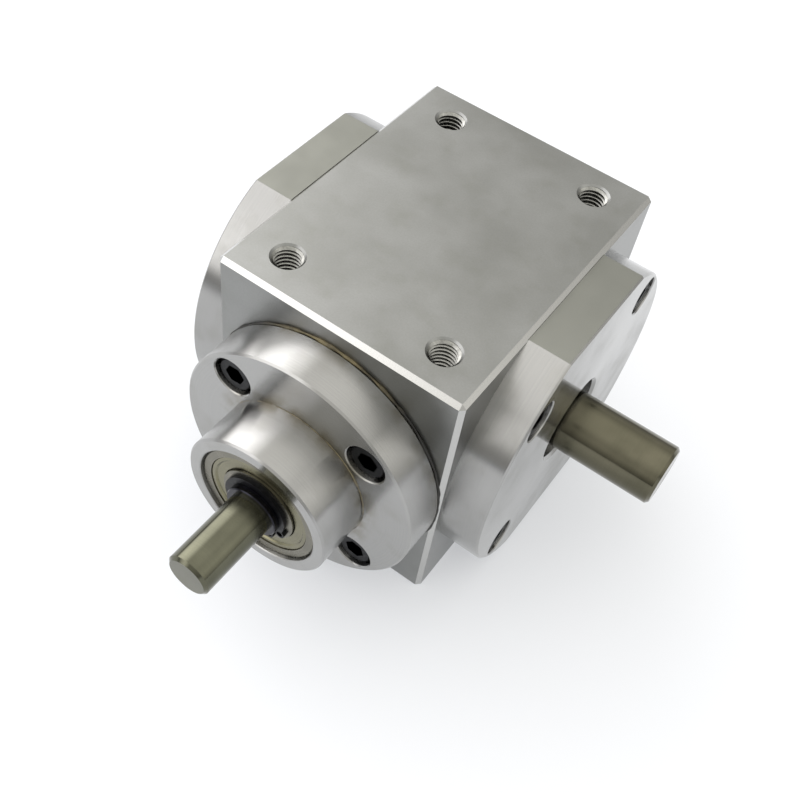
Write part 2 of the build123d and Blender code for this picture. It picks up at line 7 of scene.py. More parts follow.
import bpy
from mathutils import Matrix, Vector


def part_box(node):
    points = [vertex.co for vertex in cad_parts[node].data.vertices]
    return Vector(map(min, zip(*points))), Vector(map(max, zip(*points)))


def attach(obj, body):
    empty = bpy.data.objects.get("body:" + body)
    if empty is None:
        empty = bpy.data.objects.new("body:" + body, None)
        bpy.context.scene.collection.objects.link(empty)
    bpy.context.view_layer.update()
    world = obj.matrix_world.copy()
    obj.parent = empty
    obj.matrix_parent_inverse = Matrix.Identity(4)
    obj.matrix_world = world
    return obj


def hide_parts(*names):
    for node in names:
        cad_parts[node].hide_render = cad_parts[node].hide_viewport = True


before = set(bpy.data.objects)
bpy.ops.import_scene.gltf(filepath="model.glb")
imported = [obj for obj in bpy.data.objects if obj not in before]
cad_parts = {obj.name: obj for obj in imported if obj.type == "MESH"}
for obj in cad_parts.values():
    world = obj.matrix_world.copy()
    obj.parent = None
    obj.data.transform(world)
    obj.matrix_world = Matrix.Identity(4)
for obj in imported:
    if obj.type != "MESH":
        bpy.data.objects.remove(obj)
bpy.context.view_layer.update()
print("CAD nodes:", len(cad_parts))

# %% Modules and units
import math

import bpy
from mathutils import Matrix, Vector

mm = 0.001
axis_height = 41 * mm
print("both shaft axes lie", round(axis_height / mm, 1), "mm above the base")

# %% [markdown]
# Colours are picked as hex values from what the eye sees, in sRGB. The shader works in linear light, so one
# function turns them. Another adds any node with its settings and inputs and hands back one of its outputs.
# An input is a number, a colour or the output of another node.

# %% Colour and node helpers


def srgb(code):
    """Linear colour of an sRGB hex value."""
    parts = [int(code[i:i + 2], 16) / 255 for i in (1, 3, 5)]
    linear = [p / 12.92 if p <= 0.04045 else ((p + 0.055) / 1.055) ** 2.4 for p in parts]
    return (*linear, 1.0)


def feed(tree, made, inputs):
    """Sets a node's inputs to numbers and colours, or links them to the outputs of other nodes."""
    for name, value in inputs.items():
        if isinstance(value, bpy.types.NodeSocket):
            tree.links.new(value, made.inputs[name])
        else:
            made.inputs[name].default_value = value


def node(tree, kind, inputs, output=0, **settings):
    """Adds a node and gives one of its outputs, by its number or name."""
    made = tree.nodes.new("ShaderNode" + kind)
    for name, value in settings.items():
        setattr(made, name, value)
    feed(tree, made, inputs)
    return made.outputs[output]


print("a middle grey is", round(srgb("#808080")[0], 3), "in linear light")

# %% Helpers for materials


def new_finish(name, roughness=0.3, metallic=1.0):
    """Material with its tree and its shader, a metal unless told otherwise."""
    material = bpy.data.materials.new(name)
    material.use_nodes = True
    tree = material.node_tree
    shader = tree.nodes["Principled BSDF"]
    shader.inputs["Metallic"].default_value = metallic
    shader.inputs["Roughness"].default_value = roughness
    return material, tree, shader


def layered(tree, colour, *layers):
    """Colour with tones over it, each where its pattern goes from low to high, up to its share."""
    for pattern, low_value, high_value, share, tone in layers:
        inputs = {"Value": pattern, "From Min": low_value, "From Max": high_value, "To Max": share}
        covered = node(tree, "MapRange", inputs)
        inputs = {"Factor": covered, "A": colour, "B": srgb(tone)}
        colour = node(tree, "Mix", inputs, "Result", data_type="RGBA")
    return colour


def dress(material, *names):
    """Gives CAD nodes their finish."""
    for name in names:
        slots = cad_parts[name].data.materials
        slots.clear()
        slots.append(material)
    print(material.name, "on", len(names), "nodes")


# %% [markdown]
# The block is aluminium, milled square and then blasted with fine beads. Blasting leaves a grey satin skin
# with a fine grain and faint clouds where it was handled. The chamfers were milled after it, so they are
# bare, brighter and smoother. A point lies on a chamfer where it is near two faces of the block at once, and
# that is how the material finds them.

# %% Where the block's chamfers are
low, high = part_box("housing")
half_size = (high - low) / 2
middle = (high + low) / 2
chamfer_width = 1.2 * mm
slack = 0.02 * mm


def near_faces(tree, place):
    """Number of pairs of faces of the block that a point is near."""
    centred = node(tree, "VectorMath", {0: place, 1: middle}, operation="SUBTRACT")
    away = node(tree, "VectorMath", {0: centred}, operation="ABSOLUTE")
    count = 0.0
    for axis in range(3):
        edge = half_size[axis] - chamfer_width + slack
        distance = node(tree, "SeparateXYZ", {0: away}, axis)
        near = node(tree, "Math", {0: distance, 1: edge}, operation="GREATER_THAN")
        count = node(tree, "Math", {0: count, 1: near}, operation="ADD")
    return count


print("block:", [round(side / mm, 1) for side in high - low], "mm")

# %% Bead blasted and milled aluminium
milled_change = -0.12


def blasted_aluminium():
    """Satin grey block with bare chamfers."""
    material, tree, shader = new_finish("blasted_aluminium")
    place = node(tree, "TexCoord", {}, "Object")
    # Bead dimples are about 0.1 mm wide, too fine to show, so they are drawn five times as coarse
    grain = node(tree, "TexNoise", {"Vector": place, "Scale": 1 / (0.5 * mm), "Detail": 2.0})
    clouds = node(tree, "TexNoise", {"Vector": place, "Scale": 1 / (18 * mm), "Detail": 4.0})
    stains = node(tree, "TexNoise", {"Vector": place, "Scale": 1 / (7 * mm), "Detail": 5.0})
    # A point near two pairs of faces counts as bare, and one near a single pair doesn't
    bare = node(tree, "Math", {0: near_faces(tree, place), 1: 1.5}, operation="GREATER_THAN")
    colour = layered(tree, srgb("#8A8B89"), (clouds, 0.35, 0.65, 1.0, "#949594"),
                     (stains, 0.52, 0.75, 0.25, "#7B7C75"), (grain, 0.3, 0.7, 0.12, "#6A6A67"),
                     (bare, 0.0, 1.0, 1.0, "#BEBEBC"))
    inputs = {"Value": clouds, "From Min": 0.3, "From Max": 0.7, "To Min": 0.28, "To Max": 0.34}
    satin = node(tree, "MapRange", inputs)
    rough = node(tree, "Math", {0: bare, 1: milled_change, 2: satin}, operation="MULTIPLY_ADD")
    dimples = node(tree, "Bump", {"Height": grain, "Distance": 0.006 * mm})
    feed(tree, shader, {"Base Color": colour, "Roughness": rough, "Normal": dimples})
    return material


dress(blasted_aluminium(), "housing")

# %% [markdown]
# The flange and the covers are turned on a lathe and polished a little. The tool leaves grooves round the
# axis, on the rims and on the faces alike, far too fine to see. What one sees is what they do to reflections:
# each is stretched across the grooves, into bands along the axis on a rim and into rays on a face. The
# shader's anisotropy does this, turned by a quarter, once its tangent follows the grooves. That is the
# direction square to both the axis and the radius, so a cross product finds it anywhere on the part.
#
# Soft rings of tone go with it. Radius plus distance along the axis grows on rims and faces alike, so a noise
# with one dimension, driven by that sum, draws rings on both. Each shaft axis needs its own coordinates,
# which a Mapping node gives by moving and turning the object's.

# %% Grooves of a turned part
turn_of_axis = {"input": (math.pi / 2, 0, 0), "output": (0, math.pi / 2, 0)}
line_of_axis = {"input": (0, -1, 0), "output": (1, 0, 0)}
quarter_turn = 0.25


def grooves(tree, shader, axis, amount, flat=0.0):
    """Fine grooves round a shaft's axis, or straight on a flat, which stretch each reflection across them."""
    place = node(tree, "TexCoord", {}, "Object")
    centred = node(tree, "VectorMath", {0: place, 1: (0, 0, axis_height)}, operation="SUBTRACT")
    around = node(tree, "VectorMath", {0: line_of_axis[axis], 1: centred}, operation="CROSS_PRODUCT")
    inputs = {"Factor": flat, "A": around, "B": (0, 1, 0)}
    feed(tree, shader, {"Tangent": node(tree, "Mix", inputs, "Result", data_type="VECTOR")})
    shader.inputs["Anisotropic"].default_value = amount
    shader.inputs["Anisotropic Rotation"].default_value = quarter_turn


def turned_place(tree, axis):
    """Point, radius and distance along one shaft's axis."""
    place = node(tree, "TexCoord", {}, "Object")
    inputs = {"Vector": place, "Location": (0, 0, axis_height), "Rotation": turn_of_axis[axis]}
    local = node(tree, "Mapping", inputs, vector_type="TEXTURE")
    across = node(tree, "VectorMath", {0: local, 1: (1, 1, 0)}, operation="MULTIPLY")
    radius = node(tree, "VectorMath", {0: across}, "Value", operation="LENGTH")
    return local, radius, node(tree, "SeparateXYZ", {0: local}, "Z")


def rings(tree, radius, along, spacing):
    """Turning marks about as far apart as the spacing."""
    path = node(tree, "Math", {0: radius, 1: along}, operation="ADD")
    return node(tree, "TexNoise", {"W": path, "Scale": 1 / spacing}, noise_dimensions="1D")


print("axes:", list(line_of_axis))

# %% [markdown]
# Old oil has crept out of the flange's two seams, one on the block and one at the root of the hub. It has
# browned the metal beside them in patches, and fades within a few millimetres.

# %% Old oil at the seams
seam_at = 46.5 * mm
flange_face_at = 58.5 * mm
hub_radius = 21 * mm
reach_along = 4 * mm
reach_outwards = 5 * mm


def crept_oil(tree, local, radius, along):
    """Share of old oil, most at the flange's seam and at the root of its hub."""
    fading = ((along, seam_at, reach_along), (along, flange_face_at, reach_along),
              (radius, hub_radius, reach_outwards))
    shares = []
    for distance, start, reach in fading:
        inputs = {"Value": distance, "From Min": start, "From Max": start + reach}
        shares.append(node(tree, "MapRange", {**inputs, "To Min": 1.0, "To Max": 0.0}))
    seam, beside_face, beside_hub = shares
    root = node(tree, "Math", {0: beside_face, 1: beside_hub}, operation="MULTIPLY")
    near = node(tree, "Math", {0: seam, 1: root}, operation="MAXIMUM")
    cloud = node(tree, "TexNoise", {"Vector": local, "Scale": 1 / (6 * mm), "Detail": 4.0})
    patches = node(tree, "MapRange", {"Value": cloud, "From Min": 0.42, "From Max": 0.62})
    return node(tree, "Math", {0: near, 1: patches}, operation="MULTIPLY")


print("seams at", round(seam_at / mm, 1), "and", round(flange_face_at / mm, 1), "mm")

# %% [markdown]
# The faces were cut finer than the rims and mirror more sharply, so the material looks at where a surface
# faces. The flats at the covers' top and base were milled, so they are duller and their grooves straight.

# %% Turned and polished aluminium
cover_flat = 39.95 * mm
flat_change = 0.15
face_change = -0.07
least_facing = 0.9


def turned_aluminium(axis):
    """Bright turned aluminium with fine rings, smudges, smoother faces and satin flats."""
    material, tree, shader = new_finish("turned_aluminium_" + axis)
    local, radius, along = turned_place(tree, axis)
    # Real feed marks are about 0.1 mm apart, too fine to show, so they are drawn over three times as coarse
    marks = rings(tree, radius, along, 0.35 * mm)
    smudges = node(tree, "TexNoise", {"Vector": local, "Scale": 1 / (9 * mm), "Detail": 4.0})
    away = node(tree, "VectorMath", {0: local}, operation="ABSOLUTE")
    side = node(tree, "SeparateXYZ", {0: away}, "X")
    flat = node(tree, "Math", {0: side, 1: cover_flat}, operation="GREATER_THAN")
    layers = [(marks, 0.3, 0.7, 1.0, "#A6A6A4"), (smudges, 0.5, 0.8, 0.3, "#85837A")]
    if axis == "input":
        layers.append((crept_oil(tree, local, radius, along), 0.0, 1.0, 0.6, "#6B6249"))
    layers.append((flat, 0.0, 1.0, 1.0, "#8C8D87"))
    normal = node(tree, "TexCoord", {}, "Normal")
    facing = node(tree, "VectorMath", {0: normal, 1: line_of_axis[axis]}, "Value", operation="DOT_PRODUCT")
    either_way = node(tree, "Math", {0: facing}, operation="ABSOLUTE")
    face = node(tree, "Math", {0: either_way, 1: least_facing}, operation="GREATER_THAN")
    inputs = {"Value": smudges, "From Min": 0.35, "From Max": 0.65, "To Min": 0.2, "To Max": 0.25}
    rough = node(tree, "MapRange", inputs)
    rough = node(tree, "Math", {0: flat, 1: flat_change, 2: rough}, operation="MULTIPLY_ADD")
    rough = node(tree, "Math", {0: face, 1: face_change, 2: rough}, operation="MULTIPLY_ADD")
    feed(tree, shader, {"Base Color": layered(tree, srgb("#A2A2A1"), *layers), "Roughness": rough})
    grooves(tree, shader, axis, 1.0, flat)
    return material


dress(turned_aluminium("input"), "input_flange")
dress(turned_aluminium("output"), "output_cover", "blind_cover")

# %% [markdown]
# The shafts are hardened steel, ground round and left with a film of oil, which makes the grey metal look
# olive. They are grooved round too, so their reflections run along them. The step of the input shaft that
# stands in the bearing is painted nearly black, as painted shade for its deep recess in the bearing.

# %% Steel with an oil film
# Distance along the input shaft where the painted shade on its step begins
painted_shade_from = 71.5 * mm
shaft_end_radius = 6.05 * mm
roughness_spread = 0.05


def steel(name, axis, dark, light, roughness, shaded_step=False):
    """Steel with fine rings round one axis and soft stains of oil, and with painted shade on the shaft's
    step.
    """
    material, tree, shader = new_finish(name + "_" + axis)
    local, radius, along = turned_place(tree, axis)
    # Grinding marks are a few hundredths of a millimetre apart, and are drawn ten times as coarse
    marks = rings(tree, radius, along, 0.3 * mm)
    oil_film = node(tree, "TexNoise", {"Vector": local, "Scale": 1 / (6 * mm), "Detail": 3.0})
    mixed = node(tree, "Math", {0: marks, 1: 0.3, 2: oil_film}, operation="MULTIPLY_ADD")
    layers = [(mixed, 0.4, 0.9, 1.0, light)]
    if shaded_step:
        # The step is painted nearly black: painted shade for its recess deep in the bearing, not a colour of
        # the steel
        beyond = node(tree, "Math", {0: along, 1: painted_shade_from}, operation="GREATER_THAN")
        outside = node(tree, "Math", {0: radius, 1: shaft_end_radius}, operation="GREATER_THAN")
        painted_shade_on_step = node(tree, "Math", {0: beyond, 1: outside}, operation="MULTIPLY")
        layers.append((painted_shade_on_step, 0.0, 1.0, 1.0, "#2A2A30"))
    inputs = {"Value": oil_film, "From Min": 0.3, "From Max": 0.7, "To Min": roughness - roughness_spread,
              "To Max": roughness + roughness_spread}
    rough = node(tree, "MapRange", inputs)
    ground = node(tree, "Bump", {"Height": marks, "Distance": 0.0002 * mm})
    colour = layered(tree, srgb(dark), *layers)
    feed(tree, shader, {"Base Color": colour, "Roughness": rough, "Normal": ground})
    grooves(tree, shader, axis, 0.8)
    return material


dress(steel("ground_steel", "input", "#5A5A4D", "#676758", 0.16, shaded_step=True), "input_shaft")
dress(steel("ground_steel", "output", "#5B594B", "#686556", 0.15), "output_shaft")

# %% [markdown]
# The rings and balls of the bearings are ground steel, their cages are pressed from bright strip, and their
# shields from duller sheet that holds a film of oil. Rolling leaves rings round the axis as grinding does,
# so the function for the shafts serves again, with other colours.

# %% Bearings
bearings_on_axis = {
    "input": ["input_outer_bearing", "input_inner_bearing"],
    "output": ["output_bearing", "blind_bearing"],
}
shielded = {"input": "input_outer_bearing", "output": "output_bearing"}
for axis, bearings in bearings_on_axis.items():
    parts = [bearing + part for bearing in bearings for part in ("_outer_ring", "_inner_ring", "_balls")]
    dress(steel("bearing_steel", axis, "#69675D", "#7E7B70", 0.26), *parts)
    dress(steel("cage_steel", axis, "#8E8C86", "#A5A39B", 0.35), *[bearing + "_cage" for bearing in bearings])
    dress(steel("pressed_steel", axis, "#6F6C59", "#838069", 0.24), shielded[axis] + "_shields")

# %% [markdown]
# Inside the casing nothing is polished for looks. The gears are hardened and a little bluer, and the keys,
# washer, sleeve, spacer and shims are plain grey steel, rougher than the shafts.

# %% Steel inside the casing
dress(steel("gear_steel", "input", "#77777A", "#8D8D8F", 0.28), "input_pinion")
dress(steel("gear_steel", "output", "#77777A", "#8D8D8F", 0.28), "output_gear")
dress(steel("plain_steel", "input", "#8C8A84", "#A09E98", 0.3), "input_flange_shim",
      "input_pinion_key", "input_pinion_washer", "input_bearing_sleeve")
dress(steel("plain_steel", "output", "#8C8A84", "#A09E98", 0.3), "output_bearing_shim",
      "blind_bearing_shim", "output_gear_key", "output_gear_spacer")

# %% [markdown]
# The screws and the retaining ring are blackened steel. The thin black oxide holds oil, so it is nearly
# black with a soft grey shine, and worn a little lighter in patches. The O-rings are black nitrile rubber.

# %% Black oxide and rubber


def black_oxide():
    """Oiled black steel, worn in small patches."""
    material, tree, shader = new_finish("black_oxide_steel", metallic=0.7)
    place = node(tree, "TexCoord", {}, "Object")
    wear = node(tree, "TexNoise", {"Vector": place, "Scale": 1 / (1.2 * mm), "Detail": 4.0})
    colour = layered(tree, srgb("#141518"), (wear, 0.5, 0.8, 1.0, "#27282B"))
    inputs = {"Value": wear, "From Min": 0.3, "From Max": 0.7, "To Min": 0.34, "To Max": 0.5}
    # Real pits are under 0.1 mm wide, too fine to show, so they are drawn about four times as coarse
    pits = node(tree, "TexNoise", {"Vector": place, "Scale": 1 / (0.3 * mm), "Detail": 3.0})
    pitted = node(tree, "Bump", {"Height": pits, "Distance": 0.004 * mm})
    feed(tree, shader, {"Base Color": colour, "Roughness": node(tree, "MapRange", inputs), "Normal": pitted})
    return material


def nitrile_rubber():
    """Dull black rubber with a fine moulded skin."""
    material, tree, shader = new_finish("nitrile_rubber", 0.6, 0.0)
    place = node(tree, "TexCoord", {}, "Object")
    # The mould's marks are about 0.1 mm wide, too fine to show, so they are drawn four times as coarse
    skin = node(tree, "TexNoise", {"Vector": place, "Scale": 1 / (0.4 * mm), "Detail": 3.0})
    moulded = node(tree, "Bump", {"Height": skin, "Distance": 0.01 * mm})
    colour = layered(tree, srgb("#161618"), (skin, 0.0, 1.0, 1.0, "#242426"))
    feed(tree, shader, {"Base Color": colour, "Normal": moulded})
    return material


blackened = black_oxide()
dress(blackened, "input_flange_screws", "output_cover_screws", "blind_cover_screws", "input_circlip",
      "input_pinion_screw")
dress(nitrile_rubber(), "input_flange_o_ring", "output_cover_o_ring", "blind_cover_o_ring")

# %% [markdown]
# In CAD each mounting hole is a plain cylinder of the thread's outer size. A real M8 hole shows the helical
# ridge that the tap left, and its bright turns are the first thing one sees in it. The ridge is a small
# trapezoid wound up by a Screw modifier, one turn for each 1.25 mm of pitch. Cutting its ends flat
# and boring its mouth with a cone gives the countersink that every tapped hole has.

# %% Helpers for modelling
smooth_below = math.radians(30)


def start_piece(name):
    """Names the new primitive and opens it for editing, with nothing else selected."""
    piece = bpy.context.object
    piece.name = name
    bpy.ops.object.mode_set(mode="EDIT")
    return piece


def end_piece():
    """Leaves edit mode, puts the piece's place in its mesh and shades it by angle."""
    bpy.ops.object.mode_set(mode="OBJECT")
    bpy.ops.object.transform_apply(location=True, rotation=True, scale=True)
    bpy.ops.object.shade_smooth_by_angle(angle=smooth_below)


def apply_all(piece):
    """Applies every modifier of a piece."""
    for modifier in list(piece.modifiers):
        bpy.ops.object.modifier_apply(modifier=modifier.name)


def choose(piece, kind, test):
    """Selects only the vertices, edges or faces that pass a test, in edit mode."""
    bpy.ops.mesh.select_mode(type=kind)
    bpy.ops.mesh.select_all(action="DESELECT")
    bpy.ops.object.mode_set(mode="OBJECT")
    mesh = piece.data
    elements = {"VERT": mesh.vertices, "EDGE": mesh.edges, "FACE": mesh.polygons}[kind]
    for element in elements:
        element.select = bool(test(element))
    bpy.ops.object.mode_set(mode="EDIT")


# %% One thread
pitch = 1.25 * mm
thread_outside = 3.985 * mm
thread_inside = 3.323 * mm
thread_depth = 14 * mm
# The winding starts two turns below the hole and ends above it, so that both ends can be cut flat
spare = 2 * pitch
turns = 16
steps_in_turn = 40
bpy.ops.object.select_all(action="DESELECT")
bpy.ops.mesh.primitive_plane_add(size=1 * mm, location=(0, 0, 0))
thread = start_piece("thread")
bpy.ops.mesh.delete(type="ONLY_FACE")
bpy.ops.object.mode_set(mode="OBJECT")
root = 7 / 16
crest = 1 / 8
ridge = [(thread_outside, -root), (thread_inside, -crest), (thread_outside, root), (thread_inside, crest)]
for vertex, (radius, share) in zip(thread.data.vertices, ridge):
    vertex.co = (radius, 0, share * pitch - thread_depth - spare)
winding = thread.modifiers.new("winding", "SCREW")
winding.screw_offset = pitch
winding.iterations = turns
winding.steps = steps_in_turn
winding.render_steps = steps_in_turn
winding.use_merge_vertices = True
apply_all(thread)
bpy.ops.object.mode_set(mode="EDIT")
for height, outer, inner in ((0, True, False), (-thread_depth, False, True)):
    bpy.ops.mesh.select_all(action="SELECT")
    bpy.ops.mesh.bisect(plane_co=(0, 0, height), plane_no=(0, 0, 1), use_fill=True, clear_outer=outer,
                        clear_inner=inner)
bpy.ops.mesh.select_all(action="SELECT")
bpy.ops.mesh.normals_make_consistent(inside=False)
end_piece()
print("thread faces:", len(thread.data.polygons))

# %% Countersink and copies of the thread
cone_radius = {"bottom": 3 * mm, "top": 5.5 * mm}
cone_depth = 2.5 * mm
cone_middle = -0.25 * mm
bpy.ops.object.select_all(action="DESELECT")
bpy.ops.mesh.primitive_cone_add(vertices=64, radius1=cone_radius["bottom"], radius2=cone_radius["top"],
                                depth=cone_depth, location=(0, 0, cone_middle))
cone = bpy.context.object
bpy.ops.object.select_all(action="DESELECT")
bpy.context.view_layer.objects.active = thread
thread.select_set(True)
boring = thread.modifiers.new("boring", "BOOLEAN")
boring.object = cone
boring.operation = "DIFFERENCE"
boring.solver = "EXACT"
apply_all(thread)
bpy.data.objects.remove(cone)
bpy.ops.object.shade_smooth_by_angle(angle=smooth_below)
print("thread faces after its countersink:", len(thread.data.polygons))


def place_copies(piece, places, material, body):
    """Copies of a piece, each with a mesh of its own, riding on a body."""
    piece.data.materials.clear()
    piece.data.materials.append(material)
    for name, place in places.items():
        copy = piece.copy()
        copy.data = piece.data.copy()
        copy.name = name
        copy.data.transform(place)
        bpy.context.scene.collection.objects.link(copy)
        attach(copy, body)
    bpy.data.objects.remove(piece)


def cut_thread():
    """Bare cut aluminium with cutting oil on it."""
    material, tree, shader = new_finish("cut_thread_aluminium", 0.24)
    place = node(tree, "TexCoord", {}, "Object")
    tears = node(tree, "TexNoise", {"Vector": place, "Scale": 1 / (0.6 * mm), "Detail": 4.0})
    colour = layered(tree, srgb("#676763"), (tears, 0.0, 1.0, 1.0, "#B4B4B0"))
    torn = node(tree, "Bump", {"Height": tears, "Distance": 0.02 * mm})
    feed(tree, shader, {"Base Color": colour, "Normal": torn})
    return material


# Height, turn, and how far the holes stand from the middle to the sides and to the ends
hole_patterns = {"top": (high.z, 0, 22.5 * mm, 35 * mm), "base": (low.z, math.pi, 25 * mm, 38 * mm)}
thread_places = {}
for level, (height, turn, to_side, to_end) in hole_patterns.items():
    for side, across in (("left", -to_side), ("right", to_side)):
        for end, along in (("front", -to_end), ("back", to_end)):
            place = Matrix.Translation((across, along, height)) @ Matrix.Rotation(turn, 4, "X")
            thread_places[f"{level}_thread_{side}_{end}"] = place
place_copies(thread, thread_places, cut_thread(), "casing")

# %% [markdown]
# Each cover and the flange are held by four M6 socket head screws, sunk in pockets. A real head is
# knurled round its side and has a chamfered top and a hexagon socket that ends in a shallow drill point.
# One screw is drawn up from a cylinder and copied to all twelve places, where it stands for the CAD screw.

# %% One socket head screw
head_radius = 4.9 * mm
head_height = 6 * mm
head_chamfer = 0.5 * mm
ring_radius = 3.4 * mm
shank_radius = 2.98 * mm
shank_length = 15.5 * mm
tip_chamfer = 0.5 * mm
knurls = 48
bpy.ops.object.select_all(action="DESELECT")
bpy.ops.mesh.primitive_cylinder_add(vertices=2 * knurls, radius=head_radius, depth=head_height - head_chamfer,
                                    location=(0, 0, (head_height - head_chamfer) / 2))
screw = start_piece("screw")
bpy.ops.object.mode_set(mode="OBJECT")
bpy.ops.object.transform_apply(location=True)
bpy.ops.object.mode_set(mode="EDIT")


def resize(share):
    """Scales the selection across the axis."""
    bpy.ops.transform.resize(value=(share, share, 1), center_override=(0, 0, 0))


choose(screw, "FACE", lambda f: f.normal.z > 0.9)
bpy.ops.mesh.extrude_region_move(TRANSFORM_OT_translate={"value": (0, 0, head_chamfer)})
resize(1 - head_chamfer / head_radius)
bpy.ops.mesh.extrude_region_move(TRANSFORM_OT_translate={"value": (0, 0, 0)})
resize(ring_radius / (head_radius - head_chamfer))
bpy.ops.mesh.delete(type="FACE")
choose(screw, "FACE", lambda f: f.normal.z < -0.9)
bpy.ops.mesh.extrude_region_move(TRANSFORM_OT_translate={"value": (0, 0, 0)})
resize(shank_radius / head_radius)
bpy.ops.mesh.extrude_region_move(TRANSFORM_OT_translate={"value": (0, 0, -shank_length)})
bpy.ops.mesh.extrude_region_move(TRANSFORM_OT_translate={"value": (0, 0, -tip_chamfer)})
resize(1 - tip_chamfer / shank_radius)
print("screw faces before its socket:", len(screw.data.polygons))

# %% Knurls and socket of the screw
step = math.pi / knurls
side_band = head_height - 0.9 * head_chamfer
groove_share = 0.965
key_width = 5 * mm
socket_depth = 3 * mm
drill_point = 0.8 * mm


def in_groove(vertex):
    """True for every second vertex round the head's side."""
    on_side = math.hypot(vertex.co.x, vertex.co.y) > 0.99 * head_radius
    number = round((math.atan2(vertex.co.y, vertex.co.x) - math.pi / 2) / step)
    return on_side and vertex.co.z < side_band and number % 2 == 1


choose(screw, "VERT", in_groove)
resize(groove_share)
bpy.ops.mesh.select_all(action="DESELECT")
bpy.ops.mesh.primitive_circle_add(vertices=6, radius=key_width / 2 / math.cos(math.pi / 6),
                                  location=(0, 0, head_height), fill_type="NOTHING")
bpy.ops.mesh.extrude_region_move(TRANSFORM_OT_translate={"value": (0, 0, -socket_depth)})
bpy.ops.mesh.extrude_region_move(TRANSFORM_OT_translate={"value": (0, 0, -drill_point)})
# Nearly to a point, which the merging of doubles closes
resize(0.001)
bpy.ops.mesh.remove_doubles(threshold=0.02 * mm)


def round_the_socket(edge):
    """True for the open edges on the head's top: the socket's and the ring's."""
    ends = [screw.data.vertices[i].co for i in edge.vertices]
    level = all(abs(end.z - head_height) < 1e-6 for end in ends)
    return level and all(end.xy.length < ring_radius + 0.1 * mm for end in ends)


choose(screw, "EDGE", round_the_socket)
bpy.ops.mesh.bridge_edge_loops()
bpy.ops.mesh.select_all(action="SELECT")
bpy.ops.mesh.remove_doubles(threshold=0.001 * mm)
bpy.ops.mesh.normals_make_consistent(inside=False)
end_piece()
print("screw faces:", len(screw.data.polygons))

# %% Screws in their places
side_turn = {
    "input_flange": Matrix.Rotation(math.pi / 2, 4, "X"),
    "output_cover": Matrix.Rotation(math.pi / 2, 4, "Y"),
    "blind_cover": Matrix.Rotation(-math.pi / 2, 4, "Y"),
}
seat_height = {"input_flange": 51.5 * mm, "output_cover": 39.7 * mm, "blind_cover": 39.7 * mm}
screw_circle = {"input_flange": 28 * mm, "output_cover": 37.5 * mm, "blind_cover": 37.5 * mm}
# Tightened screws all end at another angle
socket_turn = 0.37
for part, turn in side_turn.items():
    corners = []
    for number in range(4):
        angle = math.radians(45 + 90 * number)
        spin = Matrix.Rotation(angle + socket_turn * number, 4, "Z")
        circle = screw_circle[part]
        out = Matrix.Translation((circle * math.cos(angle), circle * math.sin(angle), seat_height[part]))
        single = screw.copy()
        single.data = screw.data.copy()
        single.data.transform(Matrix.Translation((0, 0, axis_height)) @ turn @ out @ spin)
        bpy.context.scene.collection.objects.link(single)
        corners.append(single)
    bpy.ops.object.select_all(action="DESELECT")
    for single in corners:
        single.select_set(True)
    bpy.context.view_layer.objects.active = corners[0]
    bpy.ops.object.join()
    joined = corners[0]
    joined.name = part + "_socket_screws"
    joined.data.materials.clear()
    joined.data.materials.append(blackened)
    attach(joined, "casing")
    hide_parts(part + "_screws")
    print(joined.name, len(joined.data.polygons), "faces")
bpy.data.objects.remove(screw)

# %% [markdown]
# Two thin lines of oil and old sealant have crept out of the seams: one at the root of the hub, on its
# right side only, and one between the flange and the block, which is thick and amber at its top and turns
# to a thin dark line down its sides. Each is a torus that a random texture swells and thins along its way,
# shifted a little to where it is thickest, so that the metal hides more of it on the other side.

# %% Oil lines


def oil(name, roughness, wet, amber_above, dark_below):
    """Amber oil over metal: dark where it is thick, golden where it is thin, and nearly black below a given
    height.
    """
    material, tree, shader = new_finish(name, roughness, 0.0)
    place = node(tree, "TexCoord", {}, "Object")
    thick = node(tree, "TexNoise", {"Vector": place, "Scale": 1 / (3 * mm), "Detail": 4.0})
    height = node(tree, "SeparateXYZ", {0: place}, "Z")
    colour = layered(tree, srgb("#6E6447"), (thick, 0.35, 0.65, 1.0, "#3C3625"),
                     (height, amber_above, dark_below, 1.0, "#1E1D19"))
    lumps = node(tree, "TexNoise", {"Vector": place, "Scale": 1 / (0.8 * mm), "Detail": 3.0})
    lumpy = node(tree, "Bump", {"Height": lumps, "Distance": 0.03 * mm})
    feed(tree, shader, {"Base Color": colour, "Normal": lumpy})
    shader.inputs["Coat Weight"].default_value = wet
    return material


def oil_line(name, material, radius, front, thickness, swelling, fullness, aside, upwards):
    """Ring of oil round the input axis, swollen at random and shifted to the side where it is thickest."""
    bpy.ops.object.select_all(action="DESELECT")
    bpy.ops.mesh.primitive_torus_add(major_radius=radius, minor_radius=thickness, major_segments=240,
                                     minor_segments=10, location=(aside, -front, axis_height + upwards),
                                     rotation=(math.pi / 2, 0, 0))
    piece = start_piece(name)
    end_piece()
    pattern = bpy.data.textures.new(name, type="CLOUDS")
    pattern.noise_scale = 6 * mm
    pattern.noise_depth = 2
    pattern.contrast = 1.5
    swell = piece.modifiers.new("swell", "DISPLACE")
    swell.texture = pattern
    swell.texture_coords = "GLOBAL"
    swell.strength = swelling
    swell.mid_level = fullness
    apply_all(piece)
    piece.data.materials.append(material)
    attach(piece, "casing")
    print(name, len(piece.data.polygons), "faces")


